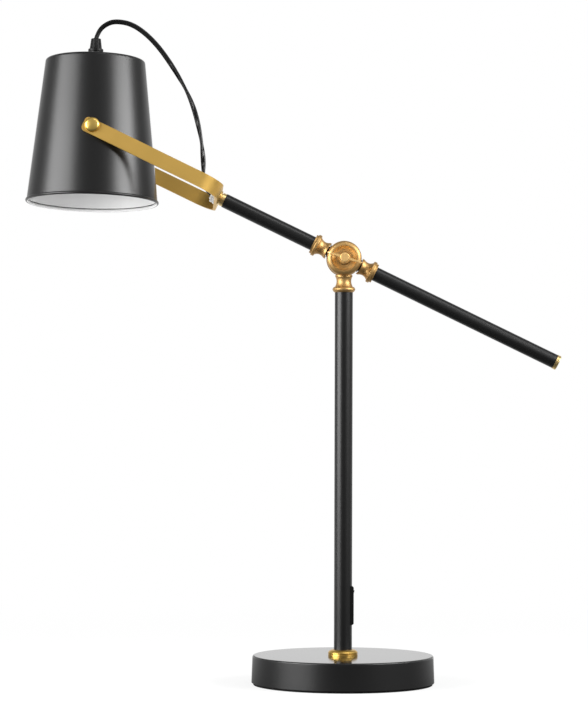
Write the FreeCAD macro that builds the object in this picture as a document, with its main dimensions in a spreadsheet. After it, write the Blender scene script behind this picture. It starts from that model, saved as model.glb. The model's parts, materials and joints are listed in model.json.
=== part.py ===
import FreeCAD, Part
import math
import os
import re

import Sketcher
from FreeCAD import Placement, Rotation, Vector

# Counterweight balance desk lamp, in millimetres.
# Z is up and the origin is the middle of the base's underside.
# The arm lies in the XZ plane: counterweight towards +X, shade towards -X.

os.makedirs("parts", exist_ok=True)
doc = FreeCAD.newDocument("BalanceLamp")
sheet = doc.addObject("Spreadsheet::Sheet", "Sizes")
pieces = []

# Driving dimensions, in millimetres, degrees and counts
sizes = {
    # Base
    "base_radius": 90.4,  # cover at its widest, near the floor
    "base_height": 28.8,  # floor to the flat top
    "base_draft": 0.8,  # how much narrower the cover is at the top
    "base_edge": 1.6,  # rounding of the top edge
    "cover_wall": 1.5,  # sheet of the cover
    "pad_thickness": 2.2,  # soft pad under the base
    "pad_inset": 1.8,  # pad edge inside the cover edge
    "weight_gap": 0.3,  # air between cover and cast weight
    "plate_thickness": 1.2,  # steel bottom plate
    "nut_recess_radius": 13.0,  # pocket under the weight for the nut
    "nut_recess_depth": 11.0,  # how deep that pocket goes
    "bushing_height": 12.0,  # mains outlet above the floor, at the back
    "bushing_radius": 4.2,  # mains outlet bushing
    "bushing_bore": 2.6,  # hole of that bushing
    "bushing_length": 9.0,  # bushing along the lead
    "bushing_lip": 1.4,  # lip of the bushing outside the cover

    # Stem
    "stem_radius": 8.95,  # outside of the stem tube
    "stem_wall": 1.5,  # wall of the stem tube
    "hub_height": 420.9,  # knuckle centre above the floor
    "neck_drop": 33.4,  # stem top below the knuckle centre
    "collar_radius": 14.6,  # brass collar at the stem's foot
    "collar_height": 5.7,  # height of that collar
    "collar_groove": 0.6,  # depth and width of the collar's groove
    "collar_ring": 1.3,  # plain ring under the groove
    "collar_band": 1.0,  # plain ring over the groove
    "collar_lip": 0.8,  # flat top of the collar round the stem
    "collar_dome": 5.2,  # curve of the collar's dome
    "thread_radius": 5.0,  # hollow threaded tube in the stem and base
    "thread_bore": 3.2,  # wire way through it
    "thread_reach": 30.0,  # how far it goes up into the stem
    "seat_gap": 0.05,  # gap where one piece slips into another
    "nut_flats": 17.0,  # base nut across flats
    "nut_height": 6.0,  # base nut
    "thread_proud": 1.0,  # threaded tube past its nut
    "foot_drop": 4.0,  # stem foot shorter than that tube
    "washer_radius": 11.5,  # base washer
    "washer_height": 1.6,  # base washer

    # Switch in the stem
    "switch_middle": 78.0,  # switch centre above the floor
    "switch_length": 38.0,  # bezel along the stem
    "switch_width": 11.0,  # bezel across the stem
    "switch_proud": 1.5,  # bezel face outside the stem
    "switch_depth": 10.0,  # housing inside the stem, from the bezel face
    "switch_chamfer": 1.2,  # sloped ends of the bezel
    "switch_end": 3.0,  # housing shorter inside than the bezel
    "switch_root": 1.0,  # bezel ends reach inside the stem tube
    "rocker_length": 30.0,  # rocker along the stem
    "rocker_width": 7.4,  # rocker across the stem
    "rocker_gap": 0.35,  # gap round the rocker
    "rocker_well": 7.5,  # well for the rocker in the housing
    "rocker_sink": 3.0,  # rocker pin below the bezel face
    "rocker_end": 2.6,  # rocker ends above its pin
    "rocker_lip": 1.4,  # height of the rocker's end faces
    "rocker_keel": 0.6,  # rocker's underside above its lowest sink
    "pin_end_gap": 0.1,  # air at each end of the rocker's pin
    "rocker_middle": 1.5,  # rocker middle above its pin
    "rocker_curve": 60.0,  # hollow of each rocker half
    "rocker_pin_length": 1.1,  # trunnion in each side wall
    "rocker_throw": 9.0,  # degrees from one rest to the other
    "rocker_pin_radius": 1.0,  # rocker trunnion

    # Knuckle
    "cheek_radius": 17.2,  # round cheeks of the fork
    "cheek_crest": 16.4,  # bright crest of each cheek from the middle plane
    "cheek_dish": 2.2,  # depth of the dished face
    "cheek_boss": 0.6,  # boss face behind the crest
    "boss_radius": 6.0,  # boss round the clamp screw
    "boss_draft": 0.8,  # boss wider at its root
    "crest_inner": 12.4,  # inner edge of the crest
    "crest_outer": 13.2,  # outer edge of the crest
    "dish_curve": 7.0,  # hollow of the dish
    "shoulder_drop": 4.5,  # round shoulder of a cheek
    "shoulder_curve": 4.6,  # curve of that shoulder
    "slot_relief": 0.8,  # slot floor below the tongue
    "slot_half": 6.4,  # half the slot between the cheeks
    "tongue_half": 5.6,  # half the tongue's thickness
    "tongue_radius": 15.4,  # round middle of the tongue
    "tongue_bar": 6.2,  # half height of the bars out of the tongue
    "friction_gap": 0.05,  # gap at each side of a friction washer
    "friction_radius": 12.0,  # friction washers
    "bolt_radius": 3.0,  # clamp screw
    "running": 0.05,  # radial running clearance of every pivot
    "neck_spigot": 20.0,  # neck inside the stem tube
    "neck_ring": 8.5,  # ring of the neck under the cheeks
    "neck_top": 8.3,  # neck under that ring
    "neck_foot": 9.0,  # neck just above its bead
    "neck_shoulder": 18.0,  # foot of the ring below the knuckle centre
    "neck_run": 5.0,  # how far the neck goes up into the cheeks
    "neck_curve": 9.6,  # hollow of the neck
    "neck_bead": 11.3,  # bead above the stem
    "bead_height": 5.6,  # whole bead
    "bead_middle": 2.9,  # widest place of the bead above the stem
    "bead_lower": 4.2,  # curve of the bead under that place
    "bead_upper": 2.9,  # curve of the bead over that place
    "knob_radius": 4.5,  # round middle of the wing screw
    "knob_face": 34.5,  # front of the wing screw from the middle plane
    "wing_span": 36.0,  # tip to tip of the wings
    "wing_thickness": 2.4,  # wings at their root
    "wing_depth": 12.0,  # wings along the screw
    "wing_turn": 16.8,  # degrees the wings stand from level
    "wing_tip": 1.0,  # wings at their tips
    "wing_set": 0.6,  # wings behind the knob face
    "wing_corner": 4.5,  # round corners of the wings
    "wing_root": 0.5,  # wings begin inside the round middle
    "knob_round": 0.8,  # rounded edge of that middle
    "screw_collar": 1.0,  # collar of the wing screw on its boss
    "collar_step": 0.7,  # that collar wider than the round middle
    "screw_end": 4.0,  # clamp screw inside the dome nut
    "screw_clear": 0.5,  # air past its end
    "dome_nut_flats": 13.0,  # nut on the far cheek
    "dome_nut_hex": 5.0,  # six-sided part of that nut
    "dome_nut_curve": 8.0,  # curve of its dome
    "dome_nut_edge": 0.2,  # dome inside the flats
    "dome_nut_height": 8.5,  # nut on the far cheek with its dome

    # Arm
    "arm_tilt": 25.8,  # degrees the tail hangs below level
    "arm_radius": 7.12,  # both arm tubes
    "arm_wall": 1.2,  # wall of the arm tubes
    "coupler_saddle": 18.7,  # round cut of the couplers about the knuckle
    "saddle_depth": 4.0,  # coupler's stock inside that cut
    "coupler_face": 0.4,  # hollow starts past the cut
    "coupler_inner": 8.2,  # coupler beside the knuckle
    "coupler_bead": 11.0,  # bead of a coupler
    "coupler_lip": 9.7,  # end of a coupler at the tube
    "coupler_end": 34.0,  # where the arm tubes start
    "coupler_spigot": 14.0,  # coupler inside the arm tube
    "coupler_bore": 4.6,  # tongue bar's round end in the coupler
    "coupler_flare": 9.4,  # coupler behind its bead
    "coupler_rim": 1.9,  # lip between bead and tube
    "coupler_bead_length": 3.5,  # bead along the arm
    "coupler_bead_round": 0.8,  # rounded edges of the bead
    "coupler_curve": 6.9,  # hollow of a coupler
    "tongue_reach": 17.4,  # bars out of the tongue's middle
    "tongue_short": 3.0,  # tongue bar ends before the tube
    "tail_reach": 236.2,  # end of the tail from the knuckle
    "cap_length": 3.7,  # brass cap at the tail
    "cap_step": 0.3,  # cap wider than the tube
    "cap_groove": 0.5,  # depth and width of the cap's groove
    "cap_band": 1.4,  # ring of the cap beside the tube
    "cap_round": 0.6,  # rounded edge of the cap
    "cap_plug": 4.0,  # cap inside the tube
    "weight_length": 150.0,  # steel slug in the tail
    "front_reach": 131.6,  # front end of the arm from the knuckle
    "ferrule_ring": 3.6,  # wide ring of the ferrule
    "ferrule_groove": 1.0,  # groove of the ferrule
    "ferrule_flange": 0.9,  # thin flange at the yoke
    "ferrule_radius": 6.6,  # ring of the ferrule
    "ferrule_step": 0.9,  # flange wider than the ring
    "ferrule_depth": 1.0,  # depth of the ferrule's groove
    "ferrule_edge": 0.4,  # rounded edge of the ring
    "nipple_radius": 4.9,  # hollow nipple through the yoke
    "nipple_bore": 3.3,  # cord way through the nipple
    "nipple_tail": 18.0,  # nipple inside the arm tube
    "yoke_nut_flats": 14.0,  # nut inside the yoke
    "yoke_nut_height": 4.0,  # nut inside the yoke
    "yoke_washer_height": 0.8,  # washer under that nut
    "yoke_washer_radius": 8.0,  # washer under that nut
    "nipple_proud": 1.2,  # nipple end past the nut

    # Yoke
    "head_swivel": -4.7,  # degrees the yoke is turned about the arm
    "strap_thickness": 3.0,  # yoke strap
    "strap_width": 14.6,  # yoke strap
    "strap_gap": 1.4,  # air between the shade and each leg at the pivot
    "strap_bend": 20.0,  # inside radius of the yoke's bends
    "strap_past": 8.7,  # strap past the shade pivot
    "strap_corner": 4.2,  # rounded corners of the strap ends
    "pivot_reach": 276.3,  # shade pivot from the knuckle
    "pivot_rise": 1.5,  # shade pivot above the strap's middle
    "pivot_radius": 3.0,  # shade pivot screws
    "pivot_knob_radius": 7.3,  # low domed knobs at the pivots
    "pivot_knob_height": 4.3,  # knobs with their dome
    "pivot_knob_rim": 1.0,  # straight rim of the knobs
    "pivot_knob_face": 4.3,  # radius of their flatter middle
    "pivot_knob_drop": 0.5,  # fall of that middle to its edge
    "pivot_knob_curve": 18.7,  # curve of that middle
    "pivot_knob_edge": 3.2,  # curve of the edge round it
    "pivot_screw_proud": 1.0,  # screws past the nuts inside the shade
    "pivot_bush_radius": 5.0,  # spacers between shade and strap
    "bush_stock": 2.0,  # spacer's stock inside the shade's slope
    "pivot_nut_radius": 5.5,  # nuts inside the shade
    "pivot_nut_height": 3.0,  # nuts inside the shade
    "pivot_nut_set": 1.3,  # nut face in from the sloped wall

    # Shade
    "shade_tilt": 1.0,  # degrees the shade leans towards the arm
    "shade_bottom_radius": 65.2,  # shade at the rim
    "shade_top_radius": 49.5,  # shade at the top
    "shade_drop": 67.95,  # rim below the pivot
    "shade_rise": 74.75,  # top above the pivot
    "shade_wall": 1.2,  # spun sheet of the shade
    "shade_corner": 2.8,  # rounding of the top edge
    "hem_radius": 1.5,  # rolled hem at the rim
    "hem_set": 0.6,  # hem centre inside the rim
    "gland_foot_radius": 7.5,  # round foot of the cable gland
    "gland_foot_height": 11.5,  # foot with its flange
    "gland_shank": 10.0,  # threaded shank below the top
    "gland_bore": 2.6,  # cord way through the gland
    "gland_waist_radius": 6.2,  # gland under its flange
    "gland_flange": 2.4,  # flange of the foot
    "gland_edge": 0.7,  # rounded edges of foot and nut
    "gland_nut_radius": 6.1,  # fluted nut at its foot
    "gland_nut_top": 4.9,  # fluted nut at its top
    "gland_nut_height": 10.4,  # fluted nut
    "gland_flutes": 14,  # grip flutes round the nut
    "flute_radius": 0.75,  # each flute
    "flute_lead": 1.0,  # flutes start below the nut
    "locknut_flats": 17.0,  # nut under the shade's top
    "locknut_height": 3.0,  # nut under the shade's top
    "holder_radius": 19.5,  # lamp holder skirt
    "holder_neck": 11.0,  # lamp holder's shoulder
    "holder_roof": 8.0,  # solid top of the holder
    "holder_shoulder": 14.0,  # height of the holder's shoulder
    "holder_curve": 14.0,  # curve of that shoulder
    "bulb_cap_radius": 13.2,  # metal cap of the bulb
    "bulb_cap_length": 26.0,  # metal cap of the bulb
    "bulb_tip_radius": 8.2,  # contact end of that cap
    "bulb_tip_height": 2.0,  # slope of that end
    "bulb_radius": 22.5,  # glass of the bulb
    "bulb_length": 50.0,  # glass of the bulb below its cap
    "bulb_curve": 34.0,  # glass between its round and the cap

    # Cord
    "cord_radius": 2.4,  # half the width of the flat twin cord
    "cord_clear": 0.7,  # cord end above the gland

    # Making
    "cut_over": 5.0,  # how far a cut runs past its piece
}
for row, (name, value) in enumerate(sizes.items(), 1):
    sheet.set("A%d" % row, name)
    sheet.set("B%d" % row, str(value))
    sheet.setAlias("B%d" % row, name)

doc.recompute()


def val(name):
    """The number of one driving dimension."""
    return float(sheet.get(name))


def bind(text):
    """An expression in plain size names, as an object outside the sheet reads it."""
    return re.sub(r"[a-z_]{3,}", lambda m: "Sizes." + m.group() if m.group() in sizes else m.group(), text)


def number(text):
    """The value of such an expression."""
    return float(sheet.evalExpression(bind(text)))


# Frames: each is where a group of pieces is built
stand_frame = Placement()
hub_frame = Placement(Vector(0, 0, val("hub_height")), Rotation())
arm_frame = hub_frame * Placement(Vector(), Rotation(Vector(0, 1, 0), val("arm_tilt")))
head_frame = arm_frame * Placement(Vector(), Rotation(Vector(1, 0, 0), val("head_swivel")))
shade_frame = head_frame * Placement(
    Vector(-val("pivot_reach"), 0, val("pivot_rise")),
    Rotation(Vector(0, 1, 0), val("shade_tilt") - val("arm_tilt")))


def start(label, frame):
    """A new body for one piece, in its frame."""
    body = doc.addObject("PartDesign::Body", label)
    body.Label = label
    body.Placement = frame
    pieces.append(body)
    return body


def plane_of(body, role):
    """One of the body's own origin planes."""
    return next(f for f in body.Origin.OriginFeatures if f.Role == role)


def place(sketch, geo, end, point):
    """Tie one end of a curve to a point given as two expressions."""
    for kind, axis, text in (("DistanceX", -2, point[0]), ("DistanceY", -1, point[1])):
        value = number(text)
        if abs(value) < 1e-7:
            sketch.addConstraint(Sketcher.Constraint("PointOnObject", geo, end, axis))
            continue
        if value > 0:
            rule = Sketcher.Constraint(kind, -1, 1, geo, end, value)
        else:
            rule = Sketcher.Constraint(kind, geo, end, -1, 1, -value)
        index = sketch.addConstraint(rule)
        sign = "" if value > 0 else "-"
        sketch.setExpression("Constraints[%d]" % index, "%s(%s)" % (sign, bind(text)))


def outline(body, role, points, offset="0"):
    """A closed outline on an origin plane.

    A point is (across, up), or (across, up, radius) where the edge that arrives
    there is an arc: a positive radius bulges to the right of the way along it.
    """
    sketch = body.newObject("Sketcher::SketchObject", body.Label + "_outline")
    sketch.AttachmentSupport = [(plane_of(body, role), "")]
    sketch.MapMode = "FlatFace"
    if offset != "0":
        sketch.setExpression("AttachmentOffset.Base.z", bind(offset))
    spots = [Vector(number(p[0]), number(p[1]), 0) for p in points]
    ends = []
    for i, point in enumerate(points):
        here, there = spots[i - 1], spots[i]
        if len(point) == 2:
            geo = sketch.addGeometry(Part.LineSegment(here, there), False)
            ends.append((geo, 1, 2))
            continue
        radius = number(point[2])
        chord = there - here
        side = Vector(-chord.y, chord.x, 0).normalize()
        rise = math.sqrt(max(radius * radius - chord.Length ** 2 / 4, 0))
        centre = (here + there) * 0.5 + side * (rise if radius > 0 else -rise)
        first, last = (here, there) if radius > 0 else (there, here)
        angles = [math.atan2(p.y - centre.y, p.x - centre.x) for p in (first, last)]
        if angles[1] < angles[0]:
            angles[1] += 2 * math.pi
        circle = Part.Circle(centre, Vector(0, 0, 1), abs(radius))
        geo = sketch.addGeometry(Part.ArcOfCircle(circle, angles[0], angles[1]), False)
        ends.append((geo, 1, 2) if radius > 0 else (geo, 2, 1))
    for i, point in enumerate(points):
        geo, _, finish = ends[i]
        nxt, begin, _ = ends[(i + 1) % len(points)]
        sketch.addConstraint(Sketcher.Constraint("Coincident", geo, finish, nxt, begin))
        place(sketch, geo, finish, point)
        if len(point) == 3:
            index = sketch.addConstraint(Sketcher.Constraint("Radius", geo, abs(number(point[2]))))
            sign = "" if number(point[2]) > 0 else "-"
            sketch.setExpression("Constraints[%d]" % index, "%s(%s)" % (sign, bind(point[2])))
    return sketch


def disc(body, role, across, up, radius, offset="0"):
    """A round outline on an origin plane."""
    sketch = body.newObject("Sketcher::SketchObject", body.Label + "_disc")
    sketch.AttachmentSupport = [(plane_of(body, role), "")]
    sketch.MapMode = "FlatFace"
    if offset != "0":
        sketch.setExpression("AttachmentOffset.Base.z", bind(offset))
    centre = Vector(number(across), number(up), 0)
    geo = sketch.addGeometry(Part.Circle(centre, Vector(0, 0, 1), number(radius)), False)
    place(sketch, geo, 3, (across, up))
    index = sketch.addConstraint(Sketcher.Constraint("Radius", geo, number(radius)))
    sketch.setExpression("Constraints[%d]" % index, bind(radius))
    return sketch


def revolve(body, sketch, axis, cut=False):
    """Turn an outline about its own H or V axis."""
    kind = "PartDesign::Groove" if cut else "PartDesign::Revolution"
    feature = body.newObject(kind, body.Label + ("_groove" if cut else "_turned"))
    feature.Profile = sketch
    feature.ReferenceAxis = (sketch, [axis])
    feature.Angle = 360
    doc.recompute()
    return feature


def pad(body, sketch, length):
    """Thicken an outline evenly to both sides of its plane."""
    feature = body.newObject("PartDesign::Pad", body.Label + "_pad")
    feature.Profile = sketch
    feature.Midplane = True
    feature.setExpression("Length", bind(length))
    doc.recompute()
    return feature


def pocket(body, sketch, length, one_way=None):
    """Cut an outline out of the body, evenly to both sides or one way."""
    feature = body.newObject("PartDesign::Pocket", body.Label + "_cut")
    feature.Profile = sketch
    before = body.Tip.Shape.Volume if feature.BaseFeature is None else feature.BaseFeature.Shape.Volume
    if one_way is None:
        feature.Midplane = True
    else:
        feature.Reversed = one_way
    feature.setExpression("Length", bind(length))
    doc.recompute()
    if feature.Shape.Volume >= before - 1e-6:
        raise RuntimeError(body.Label + ": a cut removes nothing")
    return feature


def turned(label, frame, points, role="XZ_Plane", axis="V_Axis"):
    """A piece made on a lathe."""
    body = start(label, frame)
    revolve(body, outline(body, role, points), axis)
    return body


def ring(label, frame, inner, outer, low, high, lengthwise=False):
    """A washer, bush or tube between two radii and two heights."""
    corners = [(inner, low), (outer, low), (outer, high), (inner, high)]
    if lengthwise:
        corners = [(up, across) for across, up in corners]
        return turned(label, frame, corners, axis="H_Axis")
    return turned(label, frame, corners)


def hexagon(flats):
    """The corners of a nut."""
    return [("%s/2/cos(30)*cos(%d)" % (flats, 60 * k),
             "%s/2/cos(30)*sin(%d)" % (flats, 60 * k)) for k in range(6)]


def hex_nut(label, frame, flats, bore, low, high, role="XY_Plane"):
    """A plain nut between two heights along the normal of its plane."""
    body = start(label, frame)
    middle = "((%s)+(%s))/2" % (low, high)
    pad(body, outline(body, role, hexagon(flats), middle), "(%s)-(%s)" % (high, low))
    pocket(body, disc(body, role, "0", "0", bore, middle), "(%s)-(%s)+cut_over" % (high, low))
    return body


def cross_ring(label, frame, inner, outer, low, high):
    """A washer or bush that turns about Y."""
    corners = [(inner, low), (outer, low), (outer, high), (inner, high)]
    return turned(label, frame, corners, "XY_Plane")


def rectangle(left, low, right, high):
    """The corners of a rectangle."""
    return [(left, low), (right, low), (right, high), (left, high)]


def round_ends(body, radius, reach, level):
    """Round the straight edges at x = reach or -reach whose ends agree in one coordinate."""
    edges = []
    base = body.Tip
    for i, edge in enumerate(base.Shape.Edges):
        ends = [v.Point for v in edge.Vertexes]
        if all(abs(abs(p.x) - reach) < 0.01 for p in ends) and abs(ends[0][level] - ends[-1][level]) < 0.01:
            edges.append("Edge%d" % (i + 1))
    if not edges:
        raise RuntimeError(body.Label + ": no edge to round")
    feature = body.newObject("PartDesign::Fillet", body.Label + "_fillet")
    feature.Base = (base, edges)
    feature.setExpression("Radius", bind(radius))
    doc.recompute()
    return feature


# Base: cover, cast weight, bottom plate, pad and the mains outlet
top_radius = "(base_radius-base_draft)"
under_top = "(base_height-cover_wall)"
thread_hole = "(thread_radius+seat_gap)"
weight_low = "(pad_thickness+plate_thickness)"
recess_top = "(%s+nut_recess_depth)" % weight_low

cover = turned("base_cover", stand_frame, [
    (thread_hole, under_top),
    (top_radius + "-cover_wall", under_top),
    ("base_radius-cover_wall", "pad_thickness"),
    ("base_radius", "pad_thickness"),
    (top_radius, "base_height-base_edge"),
    (top_radius + "-base_edge", "base_height", "base_edge"),
    (thread_hole, "base_height")])
pocket(cover, disc(cover, "XZ_Plane", "0", "bushing_height", "bushing_radius"), "base_radius+cut_over", False)

weight_radius = top_radius + "-cover_wall-weight_gap"
weight = turned("base_weight", stand_frame, [
    (thread_hole, recess_top),
    ("nut_recess_radius", recess_top),
    ("nut_recess_radius", weight_low),
    (weight_radius, weight_low),
    (weight_radius, under_top),
    (thread_hole, under_top)])
channel = "(bushing_radius+weight_gap)"
pocket(weight, outline(weight, "XZ_Plane", rectangle(
    "-" + channel, weight_low + "-cut_over", channel, "bushing_height+" + channel)), "base_radius", False)

turned("base_plate", stand_frame, [
    ("0", "pad_thickness"),
    ("base_radius-cover_wall-weight_gap", "pad_thickness"),
    ("base_radius-cover_wall-weight_gap", weight_low),
    ("0", weight_low)])
turned("base_pad", stand_frame, [
    ("0", "0"),
    ("base_radius-pad_inset", "0"),
    ("base_radius-pad_inset", "pad_thickness"),
    ("0", "pad_thickness")])

outlet_frame = Placement(Vector(0, 0, val("bushing_height")), Rotation())
turned("outlet_bushing", outlet_frame, [
    ("bushing_bore", "base_radius+bushing_lip-bushing_length"),
    ("bushing_radius", "base_radius+bushing_lip-bushing_length"),
    ("bushing_radius", "base_radius"),
    ("bushing_radius+bushing_lip", "base_radius"),
    ("bushing_radius+bushing_lip", "base_radius+bushing_lip"),
    ("bushing_bore", "base_radius+bushing_lip")], "XY_Plane")

# Threaded tube that clamps the stem to the base
ring("base_thread", stand_frame, "thread_bore", "thread_radius",
     recess_top + "-washer_height-nut_height-thread_proud", "base_height+thread_reach")
ring("base_washer", stand_frame, thread_hole, "washer_radius", recess_top + "-washer_height", recess_top)
hex_nut("base_nut", stand_frame, "nut_flats", thread_hole,
        recess_top + "-washer_height-nut_height", recess_top + "-washer_height")

# Stem, its collar and its threaded foot
stem_inside = "(stem_radius-stem_wall)"
stem_top = "(hub_height-neck_drop)"
turned("stem_collar", stand_frame, [
    ("stem_radius+seat_gap", "base_height"),
    ("collar_radius", "base_height"),
    ("collar_radius", "base_height+collar_ring"),
    ("collar_radius-collar_groove", "base_height+collar_ring"),
    ("collar_radius-collar_groove", "base_height+collar_ring+collar_groove"),
    ("collar_radius", "base_height+collar_ring+collar_groove"),
    ("collar_radius", "base_height+collar_ring+collar_groove+collar_band"),
    ("stem_radius+collar_lip", "base_height+collar_height", "collar_dome"),
    ("stem_radius+seat_gap", "base_height+collar_height")])
ring("stem_foot", stand_frame, thread_hole, stem_inside + "-seat_gap",
     "base_height", "base_height+thread_reach-foot_drop")

stem = ring("stem_tube", stand_frame, stem_inside, "stem_radius", "base_height", stem_top)
switch_low = "(switch_middle-switch_length/2)"
switch_high = "(switch_middle+switch_length/2)"
pocket(stem, outline(stem, "YZ_Plane", rectangle(
    "-switch_width/2-seat_gap", switch_low + "-seat_gap",
    "switch_width/2+seat_gap", switch_high + "+seat_gap")), "stem_radius+cut_over", True)

# Rocker switch: housing and rocker
switch_face = "(stem_radius+switch_proud)"
housing = start("switch_housing", stand_frame)
pad(housing, outline(housing, "XZ_Plane", [
    (switch_face + "-switch_depth", switch_low + "+switch_end"),
    ("stem_radius-stem_wall-switch_root", switch_low),
    (switch_face + "-switch_chamfer", switch_low),
    (switch_face, switch_low + "+switch_chamfer"),
    (switch_face, switch_high + "-switch_chamfer"),
    (switch_face + "-switch_chamfer", switch_high),
    ("stem_radius-stem_wall-switch_root", switch_high),
    (switch_face + "-switch_depth", switch_high + "-switch_end")]), "switch_width")
pocket(housing, outline(housing, "YZ_Plane", rectangle(
    "-rocker_width/2-rocker_gap", "switch_middle-rocker_length/2-rocker_gap",
    "rocker_width/2+rocker_gap", "switch_middle+rocker_length/2+rocker_gap"),
    switch_face + "-rocker_well"), "rocker_well+cut_over", True)
pivot_x = switch_face + "-rocker_sink"
pocket(housing, disc(housing, "XZ_Plane", pivot_x, "switch_middle", "rocker_pin_radius+running"),
       "rocker_width+2*(rocker_pin_length+pin_end_gap)")

rocker_frame = Placement(
    Vector(number(pivot_x), 0, val("switch_middle")),
    Rotation(Vector(0, 1, 0), val("rocker_throw") / 2))
rocker = start("switch_rocker", rocker_frame)
pad(rocker, outline(rocker, "XZ_Plane", [
    ("-rocker_sink+rocker_keel", "-rocker_length/3"),
    ("rocker_end-rocker_lip", "-rocker_length/2"),
    ("rocker_end", "-rocker_length/2"),
    ("rocker_middle", "0", "-rocker_curve"),
    ("rocker_end", "rocker_length/2", "-rocker_curve"),
    ("rocker_end-rocker_lip", "rocker_length/2"),
    ("-rocker_sink+rocker_keel", "rocker_length/3")]), "rocker_width")
pad(rocker, disc(rocker, "XZ_Plane", "0", "0", "rocker_pin_radius"), "rocker_width+2*rocker_pin_length")

# Fork: two dished cheeks and the neck, one casting
boss_face = "(cheek_crest-cheek_boss)"
fork = turned("knuckle_fork", hub_frame, [
    ("0", "-" + boss_face),
    ("boss_radius", "-" + boss_face),
    ("boss_radius+boss_draft", "-(cheek_crest-cheek_dish)"),
    ("crest_inner", "-cheek_crest", "-dish_curve"),
    ("crest_outer", "-cheek_crest"),
    ("cheek_radius", "-(cheek_crest-shoulder_drop)", "shoulder_curve"),
    ("cheek_radius", "cheek_crest-shoulder_drop"),
    ("crest_outer", "cheek_crest", "shoulder_curve"),
    ("crest_inner", "cheek_crest"),
    ("boss_radius+boss_draft", "cheek_crest-cheek_dish", "-dish_curve"),
    ("boss_radius", boss_face),
    ("0", boss_face)], "XY_Plane")
revolve(fork, outline(fork, "XZ_Plane", [
    ("0", "-neck_drop-neck_spigot"),
    (stem_inside + "-seat_gap", "-neck_drop-neck_spigot"),
    (stem_inside + "-seat_gap", "-neck_drop"),
    ("stem_radius", "-neck_drop"),
    ("neck_bead", "-neck_drop+bead_middle", "bead_lower"),
    ("neck_foot", "-neck_drop+bead_height", "bead_upper"),
    ("neck_top", "-neck_shoulder", "-neck_curve"),
    ("neck_ring", "-neck_shoulder"),
    ("neck_ring", "-neck_shoulder+neck_run"),
    ("0", "-neck_shoulder+neck_run")]), "V_Axis")
slot_floor = "(tongue_radius+slot_relief)"
pocket(fork, outline(fork, "YZ_Plane", rectangle(
    "-slot_half", "-" + slot_floor, "slot_half", "cheek_radius+cut_over")), "2*(cheek_radius+cut_over)")
pocket(fork, disc(fork, "XZ_Plane", "0", "0", "bolt_radius+running"), "2*(cheek_crest+cut_over)")
pocket(fork, disc(fork, "XY_Plane", "0", "0", "thread_bore"), "neck_drop+neck_spigot+cut_over", False)

# Wing screw and the dome nut on the far cheek
screw_frame = hub_frame * Placement(Vector(), Rotation(Vector(0, 1, 0), val("wing_turn")))
screw = turned("wing_screw", screw_frame, [
    ("0", "-knob_face"),
    ("knob_radius-knob_round", "-knob_face"),
    ("knob_radius", "-knob_face+knob_round", "knob_round"),
    ("knob_radius", "-(%s+screw_collar)" % boss_face),
    ("knob_radius+collar_step", "-(%s+screw_collar)" % boss_face),
    ("knob_radius+collar_step", "-(%s+friction_gap)" % boss_face),
    ("bolt_radius", "-(%s+friction_gap)" % boss_face),
    ("bolt_radius", boss_face + "+screw_end"),
    ("0", boss_face + "+screw_end")], "XY_Plane")
pad(screw, outline(screw, "XZ_Plane", [
    ("-wing_span/2", "-wing_tip/2"),
    ("-knob_radius+wing_root", "-wing_thickness/2"),
    ("knob_radius-wing_root", "-wing_thickness/2"),
    ("wing_span/2", "-wing_tip/2"),
    ("wing_span/2", "wing_tip/2"),
    ("knob_radius-wing_root", "wing_thickness/2"),
    ("-knob_radius+wing_root", "wing_thickness/2"),
    ("-wing_span/2", "wing_tip/2")], "knob_face-wing_depth/2-wing_set"), "wing_depth")
round_ends(screw, "wing_corner", val("wing_span") / 2, 1)

nut = start("dome_nut", hub_frame)
nut_middle = "-(%s+dome_nut_hex/2)" % boss_face
pad(nut, outline(nut, "XZ_Plane", hexagon("dome_nut_flats"), nut_middle), "dome_nut_hex")
revolve(nut, outline(nut, "XY_Plane", [
    ("0", boss_face + "+dome_nut_hex/2"),
    ("dome_nut_flats/2-dome_nut_edge", boss_face + "+dome_nut_hex/2"),
    ("dome_nut_flats/2-dome_nut_edge", boss_face + "+dome_nut_hex"),
    ("0", boss_face + "+dome_nut_height", "dome_nut_curve")]), "V_Axis")
screw_room = boss_face + "+screw_end+screw_clear"
pocket(nut, disc(nut, "XZ_Plane", "0", "0", "bolt_radius+running"), screw_room, False)

# Arm: tongue, friction washers, couplers, tubes, weight and tail cap
tongue = start("arm_tongue", arm_frame)
pad(tongue, disc(tongue, "XZ_Plane", "0", "0", "tongue_radius"), "2*tongue_half")
pad(tongue, outline(tongue, "XZ_Plane", rectangle(
    "-tongue_reach", "-tongue_bar", "tongue_reach", "tongue_bar")), "2*tongue_half")
pad(tongue, disc(tongue, "YZ_Plane", "0", "0", "coupler_bore"), "2*(coupler_end-tongue_short)")
pocket(tongue, disc(tongue, "XZ_Plane", "0", "0", "bolt_radius+running"), "2*(tongue_half+cut_over)")

tail_frame = arm_frame
front_frame = arm_frame * Placement(Vector(), Rotation(Vector(0, 0, 1), 180))
for word, frame in (("near", tail_frame), ("far", front_frame)):
    cross_ring("friction_washer_" + word, frame, "bolt_radius+running", "friction_radius",
               "-slot_half+friction_gap", "-tongue_half")

bead_outer = "(coupler_end-coupler_rim)"
bead_inner = "(%s-coupler_bead_length)" % bead_outer
tube_inside = "(arm_radius-arm_wall)"
plug_radius = "(%s-seat_gap)" % tube_inside


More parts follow.
